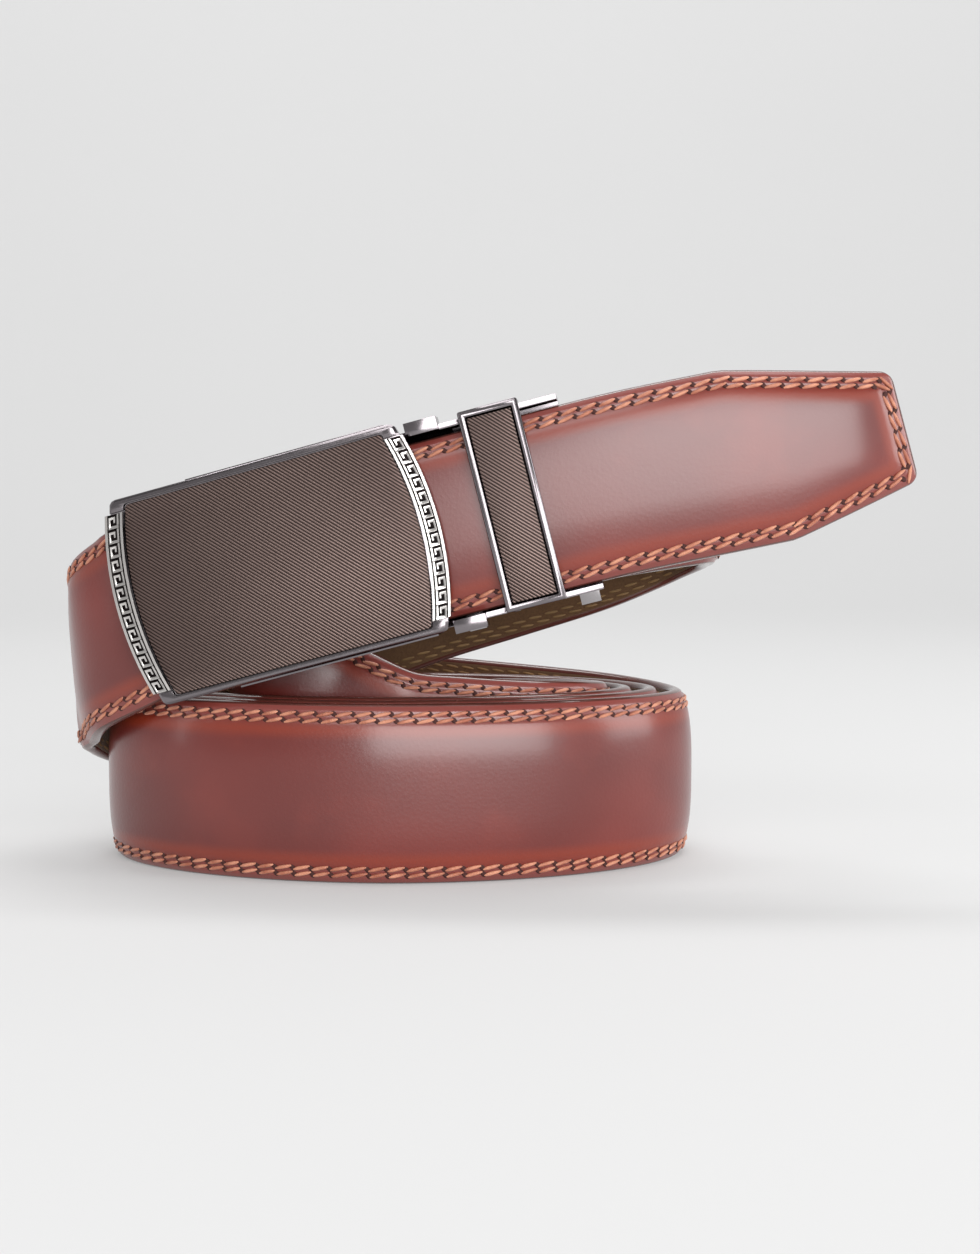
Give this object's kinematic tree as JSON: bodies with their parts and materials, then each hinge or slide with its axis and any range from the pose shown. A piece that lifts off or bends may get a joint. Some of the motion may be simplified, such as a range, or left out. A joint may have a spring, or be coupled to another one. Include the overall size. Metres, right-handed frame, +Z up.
{
  "type": "ratchet belt",
  "caption": "Fastened leather ratchet belt wound into a flat oval coil on its edge, with a framed slide buckle, a keeper and a tapered stitched tail raised in front.",
  "frame": {"origin": "the middle of the object's box, on the floor that the coil stands on", "axes": "+X along the coil to the tip of the tail, +Y away from the buckle's face, +Z up"},
  "size_m": [0.1728, 0.075, 0.0992],
  "materials": {
    "strap_leather": "glossy, padded and stitched",
    "lining_suede": "matt split leather",
    "track_nylon": "moulded, matt",
    "buckle_gunmetal": "polished dark nickel",
    "insert_metal": "fine diagonal lines, satin",
    "trim_metal": "polished relief on a dark ground",
    "works_metal": "satin"
  },
  "bodies": {
    "belt": {"strap": "strap_leather", "strap_lining": "lining_suede", "ratchet_track": "track_nylon", "face_frame": "buckle_gunmetal", "face_insert": "insert_metal", "trim_left": "trim_metal", "trim_right": "trim_metal", "buckle_frame": "buckle_gunmetal", "keeper_frame": "buckle_gunmetal", "keeper_insert": "insert_metal", "lever_pin": "works_metal", "jaw_pin": "works_metal"},
    "release_lever": {"release_lever": "works_metal"},
    "clamp_jaw": {"clamp_jaw": "works_metal"}
  },
  "joints": [
    {"name": "release_hinge", "type": "hinge", "parent": "belt", "child": "release_lever", "pos_m": [-0.01333, -0.02136, 0.06714], "axis": [0.2461, -0.0215, -0.969], "range_deg": [0, 10], "stiffness_Nm_per_rad": 0.1, "springref_deg": -5.73},
    {"name": "clamp_hinge", "type": "hinge", "parent": "belt", "child": "clamp_jaw", "pos_m": [0.00342, -0.01891, 0.07134], "axis": [-0.2461, 0.0215, 0.969], "range_deg": [0, 40]}
  ]
}
